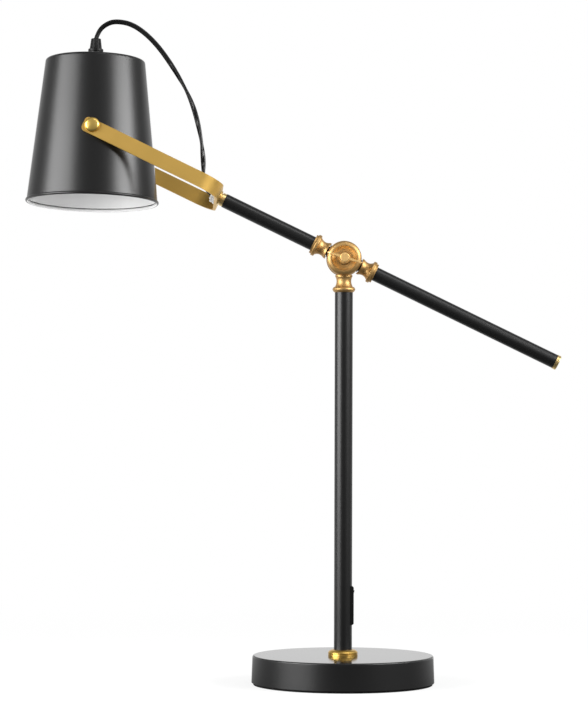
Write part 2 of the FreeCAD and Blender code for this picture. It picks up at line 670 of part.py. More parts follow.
def coupler(label, frame):
    """A brass coupler between the knuckle and one arm tube."""
    body = turned(label, frame, [
        ("coupler_saddle-saddle_depth", "coupler_bore+seat_gap"),
        ("coupler_end-tongue_short", "coupler_bore+seat_gap"),
        ("coupler_end-tongue_short", "thread_bore/2"),
        ("coupler_end+coupler_spigot", "thread_bore/2"),
        ("coupler_end+coupler_spigot", plug_radius),
        ("coupler_end", plug_radius),
        ("coupler_end", "coupler_lip"),
        (bead_outer, "coupler_lip"),
        (bead_outer, "coupler_bead-coupler_bead_round"),
        (bead_outer + "-coupler_bead_round", "coupler_bead", "coupler_bead_round"),
        (bead_inner + "+coupler_bead_round", "coupler_bead"),
        (bead_inner, "coupler_bead-coupler_bead_round", "coupler_bead_round"),
        (bead_inner, "coupler_flare"),
        ("coupler_saddle+coupler_face", "coupler_inner", "-coupler_curve"),
        ("coupler_saddle-saddle_depth", "coupler_inner")], axis="H_Axis")
    pocket(body, disc(body, "XZ_Plane", "0", "0", "coupler_saddle"), "4*coupler_bead")
    return body


coupler("coupler_rear", tail_frame)
coupler("coupler_front", front_frame)
cap_low = "(tail_reach-cap_length)"
ring("arm_tube_rear", tail_frame, tube_inside, "arm_radius", "coupler_end", cap_low, True)
ring("arm_tube_front", front_frame, tube_inside, "arm_radius", "coupler_end", "front_reach", True)
turned("counterweight", tail_frame, [
    (cap_low + "-cap_plug-weight_length", "0"),
    (cap_low + "-cap_plug", "0"),
    (cap_low + "-cap_plug", plug_radius),
    (cap_low + "-cap_plug-weight_length", plug_radius)], axis="H_Axis")
turned("end_cap", tail_frame, [
    (cap_low + "-cap_plug", "0"),
    ("tail_reach", "0"),
    ("tail_reach", "arm_radius+cap_step-cap_round"),
    ("tail_reach-cap_round", "arm_radius+cap_step", "cap_round"),
    (cap_low + "+cap_band+cap_groove", "arm_radius+cap_step"),
    (cap_low + "+cap_band+cap_groove", "arm_radius+cap_step-cap_groove"),
    (cap_low + "+cap_band", "arm_radius+cap_step-cap_groove"),
    (cap_low + "+cap_band", "arm_radius+cap_step"),
    (cap_low, "arm_radius+cap_step"),
    (cap_low, plug_radius),
    (cap_low + "-cap_plug", plug_radius)], axis="H_Axis")

# Front end of the arm: insert, ferrule, nipple, washer and nut
nipple_hole = "(nipple_radius+seat_gap)"
ferrule_end = "(front_reach+ferrule_ring+ferrule_groove+ferrule_flange)"
web_near = "(%s+friction_gap)" % ferrule_end
web_far = "(%s+strap_thickness)" % web_near
washer_near = "(%s+friction_gap)" % web_far
washer_far = "(%s+yoke_washer_height)" % washer_near
nut_far = "(%s+yoke_nut_height)" % washer_far
ring("front_insert", front_frame, nipple_hole, plug_radius, "front_reach-nipple_tail", "front_reach", True)
turned("yoke_ferrule", front_frame, [
    ("front_reach", nipple_hole),
    (ferrule_end, nipple_hole),
    (ferrule_end, "ferrule_radius+ferrule_step"),
    (ferrule_end + "-ferrule_flange", "ferrule_radius+ferrule_step"),
    (ferrule_end + "-ferrule_flange", "ferrule_radius-ferrule_depth"),
    ("front_reach+ferrule_ring", "ferrule_radius-ferrule_depth"),
    ("front_reach+ferrule_ring", "ferrule_radius-ferrule_edge"),
    ("front_reach+ferrule_ring-ferrule_edge", "ferrule_radius", "ferrule_edge"),
    ("front_reach", "ferrule_radius")], axis="H_Axis")
ring("hollow_nipple", front_frame, "nipple_bore", "nipple_radius",
     "front_reach-nipple_tail", nut_far + "+nipple_proud", True)
ring("yoke_washer", front_frame, nipple_hole, "yoke_washer_radius", washer_near, washer_far, True)
hex_nut("yoke_nut", front_frame, "yoke_nut_flats", nipple_hole, washer_far, nut_far, "YZ_Plane")

# Yoke: one flat strap bent twice
shade_at_pivot = "(shade_bottom_radius-(shade_bottom_radius-shade_top_radius)*shade_drop" \
                 "/(shade_drop+shade_rise))"
strap_inside = "(%s+strap_gap)" % shade_at_pivot
strap_outside = "(%s+strap_thickness)" % strap_inside
strap_end = "(pivot_reach+strap_past)"
bend_start = "(%s+strap_thickness+strap_bend)" % web_near
bend_outer = "(strap_bend+strap_thickness)"
yoke = start("yoke_strap", head_frame)
pad(yoke, outline(yoke, "XY_Plane", [
    ("-" + bend_start, "-" + strap_outside),
    ("-" + web_near, "-(%s-strap_bend)" % strap_inside, bend_outer),
    ("-" + web_near, strap_inside + "-strap_bend"),
    ("-" + bend_start, strap_outside, bend_outer),
    ("-" + strap_end, strap_outside),
    ("-" + strap_end, strap_inside),
    ("-" + bend_start, strap_inside),
    ("-" + web_far, strap_inside + "-strap_bend", "-strap_bend"),
    ("-" + web_far, "-(%s-strap_bend)" % strap_inside),
    ("-" + bend_start, "-" + strap_inside, "-strap_bend"),
    ("-" + strap_end, "-" + strap_inside),
    ("-" + strap_end, "-" + strap_outside)]), "strap_width")
round_ends(yoke, "strap_corner", number(strap_end), 2)
pocket(yoke, disc(yoke, "YZ_Plane", "0", "0", "nipple_radius+running"), web_far + "+cut_over", False)
pocket(yoke, disc(yoke, "XZ_Plane", "-pivot_reach", "pivot_rise", "pivot_radius+running"),
       "2*(%s+cut_over)" % strap_outside)

# Shade: spun shell with a rolled hem
gland_hole = "(thread_radius+seat_gap)"
shade = turned("shade_shell", shade_frame, [
    ("shade_bottom_radius-shade_wall", "-shade_drop"),
    ("shade_bottom_radius", "-shade_drop"),
    ("shade_top_radius", "shade_rise-shade_corner"),
    ("shade_top_radius-shade_corner", "shade_rise", "shade_corner"),
    (gland_hole, "shade_rise"),
    (gland_hole, "shade_rise-shade_wall"),
    ("shade_top_radius-shade_corner", "shade_rise-shade_wall"),
    ("shade_top_radius-shade_wall", "shade_rise-shade_corner", "-(shade_corner-shade_wall)")])
hem = disc(shade, "XZ_Plane", "shade_bottom_radius-hem_set", "-shade_drop+hem_radius", "hem_radius")
revolve(shade, hem, "V_Axis")
pocket(shade, disc(shade, "XZ_Plane", "0", "0", "pivot_radius+seat_gap"), "2*(shade_bottom_radius+cut_over)")

# Pivots of the shade, one at each side
knob_face = "(%s+friction_gap)" % strap_outside
nut_outer = "(%s-shade_wall-pivot_nut_set)" % shade_at_pivot
nut_inner = "(%s-pivot_nut_height)" % nut_outer
for word, turn in (("near", 0), ("far", 180)):
    side = shade_frame * Placement(Vector(), Rotation(Vector(0, 0, 1), turn))
    turned("pivot_knob_" + word, side, [
        ("0", "-(%s+pivot_knob_height)" % knob_face),
        ("pivot_knob_face", "-(%s+pivot_knob_height-pivot_knob_drop)" % knob_face, "pivot_knob_curve"),
        ("pivot_knob_radius", "-(%s+pivot_knob_rim)" % knob_face, "pivot_knob_edge"),
        ("pivot_knob_radius", "-" + knob_face),
        ("pivot_radius", "-" + knob_face),
        ("pivot_radius", "-(%s-pivot_screw_proud)" % nut_inner),
        ("0", "-(%s-pivot_screw_proud)" % nut_inner)], "XY_Plane")
    bush = cross_ring("pivot_bush_" + word, side, "pivot_radius+seat_gap", "pivot_bush_radius",
                      "-(%s-friction_gap)" % strap_inside, "-(%s-bush_stock)" % shade_at_pivot)
    revolve(bush, outline(bush, "XZ_Plane", [
        ("0", "-shade_drop"),
        ("shade_bottom_radius", "-shade_drop"),
        ("shade_top_radius", "shade_rise"),
        ("0", "shade_rise")]), "V_Axis", cut=True)
    cross_ring("pivot_nut_" + word, side, "pivot_radius+seat_gap", "pivot_nut_radius",
               "-" + nut_outer, "-" + nut_inner)

# Cable gland on the shade, with its fluted nut
foot_top = "(shade_rise+gland_foot_height)"
flange_low = "(%s-gland_flange)" % foot_top
gland_top = "(%s+gland_nut_height)" % foot_top
turned("gland_body", shade_frame, [
    ("gland_bore", "shade_rise-gland_shank"),
    ("thread_radius", "shade_rise-gland_shank"),
    ("thread_radius", "shade_rise"),
    ("gland_waist_radius", "shade_rise"),
    ("gland_waist_radius", flange_low),
    ("gland_foot_radius", flange_low),
    ("gland_foot_radius", foot_top + "-gland_edge"),
    ("gland_foot_radius-gland_edge", foot_top, "gland_edge"),
    ("gland_bore", foot_top)])
gland_nut = turned("gland_nut", shade_frame, [
    ("gland_bore", foot_top),
    ("gland_nut_radius", foot_top),
    ("gland_nut_top", gland_top + "-gland_edge"),
    ("gland_nut_top-gland_edge", gland_top, "gland_edge"),
    ("gland_bore", gland_top)])
flute = gland_nut.newObject("Sketcher::SketchObject", "flute")
flute.AttachmentSupport = [(plane_of(gland_nut, "XY_Plane"), "")]
flute.MapMode = "FlatFace"
slope = math.degrees(math.atan2(val("gland_nut_radius") - val("gland_nut_top"), val("gland_nut_height")))
flute.AttachmentOffset = Placement(
    Vector(val("gland_nut_radius") + val("flute_radius") / 3, 0, number(foot_top) - val("flute_lead")),
    Rotation(Vector(0, 1, 0), -slope))
flute.addGeometry(Part.Circle(Vector(), Vector(0, 0, 1), val("flute_radius")), False)
flute.addConstraint(Sketcher.Constraint("Coincident", 0, 3, -1, 1))
index = flute.addConstraint(Sketcher.Constraint("Radius", 0, val("flute_radius")))
flute.setExpression("Constraints[%d]" % index, bind("flute_radius"))
first_flute = pocket(gland_nut, flute, "gland_nut_height+2*flute_lead", True)
flutes = gland_nut.newObject("PartDesign::PolarPattern", "flutes")
flutes.Originals = [first_flute]
flutes.Axis = (plane_of(gland_nut, "Z_Axis"), [""])
flutes.Angle = 360
flutes.setExpression("Occurrences", bind("gland_flutes"))
gland_nut.Tip = flutes

# Inside the shade: locknut, lamp holder and bulb
locknut_low = "(shade_rise-shade_wall-locknut_height)"
hex_nut("gland_locknut", shade_frame, "locknut_flats", thread_hole, locknut_low, "shade_rise-shade_wall")
cap_top = "(%s-holder_roof)" % locknut_low
cap_bottom = "(%s-bulb_cap_length)" % cap_top
turned("lamp_holder", shade_frame, [
    ("bulb_cap_radius+seat_gap", cap_bottom + "+seat_gap"),
    ("holder_radius", cap_bottom + "+seat_gap"),
    ("holder_radius", locknut_low + "-holder_shoulder"),
    ("holder_neck", locknut_low, "holder_curve"),
    (thread_hole, locknut_low),
    (thread_hole, cap_top),
    ("bulb_cap_radius+seat_gap", cap_top)])
turned("bulb_cap", shade_frame, [
    ("0", cap_bottom),
    ("bulb_cap_radius", cap_bottom),
    ("bulb_cap_radius", cap_top + "-bulb_tip_height"),
    ("bulb_tip_radius", cap_top),
    ("0", cap_top)])
turned("bulb_glass", shade_frame, [
    ("0", cap_bottom + "-bulb_length"),
    ("bulb_radius", cap_bottom + "-bulb_length+bulb_radius", "bulb_radius"),
    ("bulb_cap_radius", cap_bottom, "bulb_curve"),
    ("0", cap_bottom)])

# Cord from the gland to the nipple, along straight runs and tangent arcs.
# The points lie in the middle plane of the yoke: along the arm, then square to it.
gland_end = head_frame.inverse() * (shade_frame * Vector(0, 0, number(gland_top + "+cord_clear")))
cord_points = [
    (-319.0, 97.3),
    (-317.4, 106.2),
    (-310.5, 114.2),
    (-289.5, 119.0),
    (-263.0, 112.5),
    (-233.0, 96.0),
    (-203.5, 75.0),
    (-180.8, 47.8),
    (-168.2, 27.4),
    (-162.6, 16.0),
    (-158.0, 7.4),
    (-152.6, 1.8),
]
route = [gland_end] + [Vector(along, 0, above) for along, above in cord_points]
route.append(Vector(-(number(nut_far) + val("nipple_proud")), 0, 0))


def cord_path(points):
    """Straight runs with the largest tangent arcs that they allow."""
    edges = []
    radii = []
    at = points[0]
    for before, here, after in zip(points, points[1:], points[2:]):
        there = (after - here).normalize()
        back = (before - here).normalize()
        turn = math.pi - back.getAngle(there)
        cut = 0.45 * min((here - before).Length, (after - here).Length)
        radius = cut / math.tan(turn / 2)
        enter = here + back * cut
        leave = here + there * cut
        inward = (back + there).normalize()
        middle = here + inward * (math.hypot(radius, cut) - radius)
        edges.append(Part.LineSegment(at, enter).toShape())
        edges.append(Part.Arc(enter, middle, leave).toShape())
        radii.append(radius)
        at = leave
    edges.append(Part.LineSegment(at, points[-1]).toShape())
    return Part.Wire(edges), radii


path, radii = cord_path(route)
section = Part.Wire(Part.makeCircle(val("cord_radius"), route[0], route[1] - route[0]))
tube = path.makePipeShell([section], True, False)
cord = doc.addObject("Part::Feature", "shade_cord")
cord.Label = "shade_cord"
cord.Shape = tube
cord.Placement = head_frame
pieces.append(cord)

doc.recompute()
print("cord radii:", " ".join("%.1f" % radius for radius in radii))
print("cord length %.1f, section times length over volume %.4f" % (
    path.Length, math.pi * val("cord_radius") ** 2 * path.Length / tube.Volume))

for item in doc.Objects:
    if "Invalid" in item.State or "Error" in item.State:
        raise RuntimeError("%s did not recompute" % item.Name)
for piece in pieces:
    shape = piece.Shape
    if shape.isNull() or not shape.isValid() or not shape.Solids:
        raise RuntimeError("%s has no valid solid" % piece.Label)
for piece in pieces:
    piece.Shape.exportStep("parts/%s.step" % piece.Label)
print("pieces:", len(pieces))
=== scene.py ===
import json
import math

import bmesh
import bpy
from bpy.props import FloatProperty, FloatVectorProperty, IntProperty, PointerProperty
from mathutils import Matrix, Quaternion, Vector


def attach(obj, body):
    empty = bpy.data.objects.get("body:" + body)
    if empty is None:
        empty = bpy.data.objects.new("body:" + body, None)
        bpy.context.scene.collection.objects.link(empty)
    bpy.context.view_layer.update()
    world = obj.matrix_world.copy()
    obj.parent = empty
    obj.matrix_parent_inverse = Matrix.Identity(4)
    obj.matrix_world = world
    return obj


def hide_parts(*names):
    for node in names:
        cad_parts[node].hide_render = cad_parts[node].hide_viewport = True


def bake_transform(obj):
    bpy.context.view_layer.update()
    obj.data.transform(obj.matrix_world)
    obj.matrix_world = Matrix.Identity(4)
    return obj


bl_info = {
    "name": "Balance desk lamp",
    "version": (1, 0, 0),
    "blender": (4, 5, 0),
    "location": "View3D > Sidebar > Lamp",
    "description": "Finishes, spun shade, twin cord and studio for a counterweight balance lamp",
    "category": "Object",
}

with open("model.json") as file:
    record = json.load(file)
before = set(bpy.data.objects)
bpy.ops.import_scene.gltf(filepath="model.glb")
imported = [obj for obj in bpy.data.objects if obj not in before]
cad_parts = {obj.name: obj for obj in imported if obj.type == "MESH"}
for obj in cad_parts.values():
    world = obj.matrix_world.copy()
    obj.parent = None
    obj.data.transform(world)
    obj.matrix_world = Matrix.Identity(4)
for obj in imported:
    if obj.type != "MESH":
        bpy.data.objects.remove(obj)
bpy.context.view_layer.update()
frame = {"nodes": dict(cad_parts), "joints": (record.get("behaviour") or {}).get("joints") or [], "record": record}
nodes = frame["nodes"]
joints = {joint["name"]: joint for joint in frame["joints"]}

MM = 0.001
FULL_TURN = 2 * math.pi

# Frame of the head: X along the arm to its tail, Y along the shade's hinge, Z square to both
hub = Vector(joints["arm_tilt"]["pos_m"])
pivot = Vector(joints["shade_tilt"]["pos_m"])
arm_x = Vector(joints["head_swivel"]["axis"]).normalized()
head_y = Vector(joints["shade_tilt"]["axis"]).normalized()
head_z = arm_x.cross(head_y).normalized()
head_frame = Matrix.Translation(hub) @ Matrix((arm_x, head_y, head_z)).transposed().to_4x4()


def shade_frame(lean):
    """The shade's own frame: origin at its pivot, Z up its middle."""
    turn = Matrix.Rotation(lean, 4, "Y")
    return head_frame @ Matrix.Translation(head_frame.inverted() @ pivot) @ turn


# Settings that a user would change
class LampColours(bpy.types.PropertyGroup):
    """Colours of the finishes, as linear values"""
    paint: FloatVectorProperty(
        name="Paint", description="Satin charcoal coat of base, stem, arm and shade",
        subtype="COLOR", size=3, min=0, max=1, default=(0.0014, 0.0014, 0.0015))
    lining: FloatVectorProperty(
        name="Lining", description="White coat inside the shade",
        subtype="COLOR", size=3, min=0, max=1, default=(0.63, 0.63, 0.63))
    satin_brass: FloatVectorProperty(
        name="Satin brass", description="Brushed strap of the yoke and collar of the stem",
        subtype="COLOR", size=3, min=0, max=1, default=(0.62, 0.392, 0.098))
    # Polished brass also colours the strap's bevels, where it is partly a painted highlight.
    polished_brass: FloatVectorProperty(
        name="Polished brass", description="Knobs of the shade and bright edges",
        subtype="COLOR", size=3, min=0, max=1, default=(0.82, 0.56, 0.15))
    cast_brass: FloatVectorProperty(
        name="Cast brass", description="Knuckle and couplers",
        subtype="COLOR", size=3, min=0, max=1, default=(0.51, 0.315, 0.118))
    ferrule_brass: FloatVectorProperty(
        name="Ferrule brass", description="Ferrule at the yoke and cap at the tail",
        subtype="COLOR", size=3, min=0, max=1, default=(0.80, 0.60, 0.27))
    # Lighter than the cast brass, partly as a painted highlight that makes the clamp screw's bar stand out.
    screw_brass_and_highlight: FloatVectorProperty(
        name="Screw brass", description="Clamp screw of the knuckle",
        subtype="COLOR", size=3, min=0, max=1, default=(0.78, 0.50, 0.19))
    sheath: FloatVectorProperty(
        name="Sheath", description="Soft sheath of the twin cord",
        subtype="COLOR", size=3, min=0, max=1, default=(0.003, 0.003, 0.003))


class LampSizes(bpy.types.PropertyGroup):
    """Sizes of the pieces that are made here"""
    shade_lean: FloatProperty(
        name="Shade lean", description="Angle from the yoke's legs to the shade's middle",
        subtype="ANGLE", unit="ROTATION", default=math.radians(-24.8))
    rim_radius: FloatProperty(
        name="Rim radius", description="Shade at its rim", unit="LENGTH", default=65.05 * MM)
    crown_radius: FloatProperty(
        name="Crown radius", description="Shade at its top", unit="LENGTH", default=49.3 * MM)
    rim_drop: FloatProperty(
        name="Rim drop", description="Rim below the pivot", unit="LENGTH", default=67.95 * MM)
    crown_rise: FloatProperty(
        name="Crown rise", description="Top above the pivot", unit="LENGTH", default=74.75 * MM)
    crown_round: FloatProperty(
        name="Crown rounding", description="Rounding of the top edge",
        unit="LENGTH", default=2.8 * MM)
    sheet_wall: FloatProperty(
        name="Sheet", description="Thickness of the spun sheet", unit="LENGTH", default=1.2 * MM)
    hem_radius: FloatProperty(
        name="Hem", description="Radius of the rolled hem", unit="LENGTH", default=1.5 * MM)
    hem_set: FloatProperty(
        name="Hem set", description="Hem's middle inside the rim",
        unit="LENGTH", default=0.6 * MM)
    edge_ring: FloatProperty(
        name="Edge ring", description="Ring of faces beside each rounded edge",
        unit="LENGTH", default=0.4 * MM)
    # The slot over the hem takes the outside's black paint inside the white lining: a painted shadow line over the
    # hem.
    painted_shadow_slot_back: FloatProperty(
        name="Slot depth", description="Back of the hem's slot inside the rim",
        unit="LENGTH", default=0.5 * MM)
    painted_shadow_slot_height: FloatProperty(
        name="Slot", description="Dark slot over the rolled hem",
        unit="LENGTH", default=1.1 * MM)
    gland_hole: FloatProperty(
        name="Gland hole", description="Radius of the hole in the top for the gland",
        unit="LENGTH", default=5.05 * MM)
    shade_sides: IntProperty(
        name="Shade sides", description="Steps round the shade", default=160, min=24)
    cord_width: FloatProperty(
        name="Cord width", description="Wide side of the twin cord",
        unit="LENGTH", default=5.0 * MM)
    cord_thickness: FloatProperty(
        name="Cord thickness", description="Narrow side of the twin cord",
        unit="LENGTH", default=3.2 * MM)


class LampStudio(bpy.types.PropertyGroup):
    """Camera and light"""
    eye: FloatVectorProperty(
        name="Eye", description="Place of the camera", subtype="TRANSLATION", unit="LENGTH",
        size=3, default=(-0.0767, -2.8363, 0.2880))
    yaw: FloatProperty(
        name="Yaw", description="Camera turned towards the tail",
        subtype="ANGLE", unit="ROTATION", default=math.radians(0.556))
    pitch: FloatProperty(
        name="Pitch", description="Camera turned up",
        subtype="ANGLE", unit="ROTATION", default=math.radians(0.656))
    roll: FloatProperty(
        name="Roll", description="Camera turned about its own axis",
        subtype="ANGLE", unit="ROTATION", default=math.radians(0.164))
    lens: FloatProperty(
        name="Lens", description="Focal length in millimetres", default=143.3, min=1)
    left_power: FloatProperty(
        name="Left light", description="Power of the left softbox in watts", default=69, min=0)
    right_power: FloatProperty(
        name="Right light", description="Power of the right softbox in watts",
        default=51, min=0)
    top_power: FloatProperty(
        name="Top light", description="Power of the overhead softbox in watts",
        default=5, min=0)
    floor_shine: FloatProperty(
        name="Floor shine",
        description="How bright the floor before the lamp is in reflections",
        default=0.12, min=0)
    ambient: FloatProperty(
        name="Ambient", description="Even light from all round", default=0.50, min=0)
    front_shine: FloatProperty(
        name="Front shine", description="How bright the camera's side is in reflections",
        default=0.32, min=0)


GROUP_CLASSES = {
    "lamp_colours": LampColours, "lamp_sizes": LampSizes, "lamp_studio": LampStudio}


def lamp(context, group):
    """One of the lamp's groups of settings."""
    return getattr(context.scene, "lamp_" + group)


# Shader nodes
def add_node(tree, kind, inputs=(), **settings):
    """A node with its settings; each input is (key, socket to link or plain value)."""
    node = tree.nodes.new(kind)
    for title, value in settings.items():
        setattr(node, title, value)
    for key, value in inputs:
        if isinstance(value, bpy.types.NodeSocket):
            tree.links.new(value, node.inputs[key])
        else:
            node.inputs[key].default_value = value
    return node


def math_node(tree, operation, *values):
    """The result of a math node fed by sockets or plain numbers."""
    return add_node(tree, "ShaderNodeMath", enumerate(values), operation=operation).outputs[0]


def vector_node(tree, operation, inputs):
    """A vector math node fed by sockets."""
    return add_node(tree, "ShaderNodeVectorMath", inputs, operation=operation)


def noise_node(tree, vector, scale, detail):
    """A noise texture read at a vector."""
    inputs = [("Detail", detail), ("Vector", vector), ("Scale", scale)]
    return add_node(tree, "ShaderNodeTexNoise", inputs).outputs["Fac"]


def object_place(tree):
    """The place on the object, which moves with it."""
    return add_node(tree, "ShaderNodeTexCoord").outputs["Object"]


# Shader node groups, each built once
COLOUR = "NodeSocketColor"
NUMBER = "NodeSocketFloat"
VECTOR = "NodeSocketVector"
FINISH_INPUTS = [
    ("Colour", COLOUR, (0.5, 0.5, 0.5, 1)),
    ("Colour change", NUMBER, 0.1),
    ("Roughness", NUMBER, 0.5),
    ("Roughness change", NUMBER, 0.1),
]
FINISH_OUTPUTS = [("Colour", COLOUR), ("Roughness", NUMBER), ("Height", NUMBER)]

FINE_DETAIL = 2
LINE_DETAIL = 3
BROAD_DETAIL = 3
BRUSHED_SMUDGE = 30.0  # scale of the broad pattern on brushed pieces
LATHE_SMUDGE = 60.0  # the same on turned pieces
NOISE_MIDDLE = 0.5


def new_group(name, inputs):
    """A finish group with named sockets; each input is (name, kind, default)."""
    group = bpy.data.node_groups.new(name, "ShaderNodeTree")
    for title, kind, default in FINISH_INPUTS + inputs:
        item = group.interface.new_socket(name=title, in_out="INPUT", socket_type=kind)
        item.default_value = default
    for title, kind in FINISH_OUTPUTS:
        group.interface.new_socket(name=title, in_out="OUTPUT", socket_type=kind)
    return group, group.nodes.new("NodeGroupInput"), group.nodes.new("NodeGroupOutput")


def finish_outputs(group, start, end, fine, broad):
    """Feed colour, roughness and height of a finish from a fine and a broad pattern."""
    given = start.outputs
    lean = math_node(group, "SUBTRACT", broad, NOISE_MIDDLE)
    shade = math_node(group, "ADD", math_node(group, "MULTIPLY", lean, given["Colour change"]), 1)
    tint = vector_node(group, "SCALE", [(0, given["Colour"]), ("Scale", shade)])
    both = math_node(group, "SUBTRACT", math_node(group, "ADD", fine, broad), 2 * NOISE_MIDDLE)
    change = math_node(group, "MULTIPLY", both, given["Roughness change"])
    roughness = math_node(group, "ADD", change, given["Roughness"])
    group.links.new(tint.outputs[0], end.inputs["Colour"])
    group.links.new(roughness, end.inputs["Roughness"])
    group.links.new(fine, end.inputs["Height"])


def grain_group():
    """Fine grain of a sprayed, moulded or cast surface, with soft smudges."""
    group, start, end = new_group(
        "Surface grain", [("Grain", NUMBER, 2500.0), ("Smudge", NUMBER, 25.0)])
    place = object_place(group)
    fine = noise_node(group, place, start.outputs["Grain"], FINE_DETAIL)
    broad = noise_node(group, place, start.outputs["Smudge"], BROAD_DETAIL)
    finish_outputs(group, start, end, fine, broad)
    return group


def brushed_group():
    """Fine lines along X after a turn, as a brushed strap has."""
    group, start, end = new_group(
        "Brushed lines", [("Turn", VECTOR, (0, 0, 0)), ("Stretch", VECTOR, (20, 2500, 2500))])
    place = object_place(group)
    turned = add_node(group, "ShaderNodeMapping", [
        ("Vector", place), ("Rotation", start.outputs["Turn"])])
    spread = vector_node(group, "MULTIPLY", [
        (0, turned.outputs[0]), (1, start.outputs["Stretch"])])
    fine = noise_node(group, spread.outputs[0], 1.0, LINE_DETAIL)
    broad = noise_node(group, place, BRUSHED_SMUDGE, BROAD_DETAIL)
    finish_outputs(group, start, end, fine, broad)
    return group


def lathe_group():
    """Faint rings round an axis, as a piece turned on a lathe has."""
    group, start, end = new_group("Lathe marks", [
        ("Centre", VECTOR, (0, 0, 0)), ("Turn", VECTOR, (0, 0, 0)), ("Pitch", NUMBER, 3000.0)])
    place = object_place(group)
    moved = vector_node(group, "SUBTRACT", [(0, place), (1, start.outputs["Centre"])])
    turned = add_node(group, "ShaderNodeMapping", [
        ("Vector", moved.outputs[0]), ("Rotation", start.outputs["Turn"])])
    across, along, up = add_node(
        group, "ShaderNodeSeparateXYZ", [(0, turned.outputs[0])]).outputs
    squares = [math_node(group, "MULTIPLY", part, part) for part in (across, along)]
    radius = math_node(group, "SQRT", math_node(group, "ADD", *squares))
    rings = add_node(group, "ShaderNodeCombineXYZ", [(0, radius), (1, up)])
    fine = noise_node(group, rings.outputs[0], start.outputs["Pitch"], FINE_DETAIL)
    broad = noise_node(group, place, LATHE_SMUDGE, BROAD_DETAIL)
    finish_outputs(group, start, end, fine, broad)
    return group


GROUPS = {"grain": grain_group, "brushed": brushed_group, "lathe": lathe_group}
built = {}

# Where a satin coat starts and ends to look sleeker, by how far it faces away from the eye
SLEEK_START, SLEEK_END = 0.85, 0.905


def sleek(tree, roughness, low):
    """A roughness that drops to a share of itself where the surface is seen at a low angle."""
    angle = add_node(tree, "ShaderNodeLayerWeight", [("Blend", 0.5)])
    drop = add_node(tree, "ShaderNodeMapRange", [
        ("From Min", SLEEK_START), ("From Max", SLEEK_END), ("To Min", 1.0), ("To Max", low),
        ("Value", angle.outputs["Facing"])])
    return math_node(tree, "MULTIPLY", roughness, drop.outputs[0])


def finish(title, kind, colour, roughness, depth, change, metallic=0.0, sockets=(), low=None,
           **values):
    """A material: one Principled shader fed by one finish group.

    Depth is that of the bump in millimetres, change that of colour and roughness. Sockets
    are the shader's own, low is the share that sleek takes, values are the group's own.
    """
    material = bpy.data.materials.new(title)
    material.use_nodes = True
    tree = material.node_tree
    shader = tree.nodes["Principled BSDF"]
    shader.inputs["Metallic"].default_value = metallic
    for name, value in sockets:
        shader.inputs[name].default_value = value
    if kind not in built:
        built[kind] = GROUPS[kind]()
    inputs = [("Colour", (*colour, 1)), ("Roughness", roughness), ("Colour change", change[0]),
              ("Roughness change", change[1])]
    inputs += [(name.capitalize(), value) for name, value in values.items()]
    node = tree.nodes.new("ShaderNodeGroup")
    node.node_tree = built[kind]
    for name, value in inputs:
        node.inputs[name].default_value = value
    rough = node.outputs["Roughness"]
    bump = add_node(tree, "ShaderNodeBump", [
        ("Distance", depth * MM), ("Strength", 1.0), ("Height", node.outputs["Height"])])
    tree.links.new(node.outputs["Colour"], shader.inputs["Base Color"])
    tree.links.new(rough if low is None else sleek(tree, rough, low), shader.inputs["Roughness"])
    tree.links.new(bump.outputs[0], shader.inputs["Normal"])
    return material


def turn_onto(axis, target):
    """The turn that brings one axis onto another, as a mapping node takes it."""
    return axis.rotation_difference(Vector(target)).to_euler("XYZ")


X_AXIS, Z_AXIS = (1, 0, 0), (0, 0, 1)

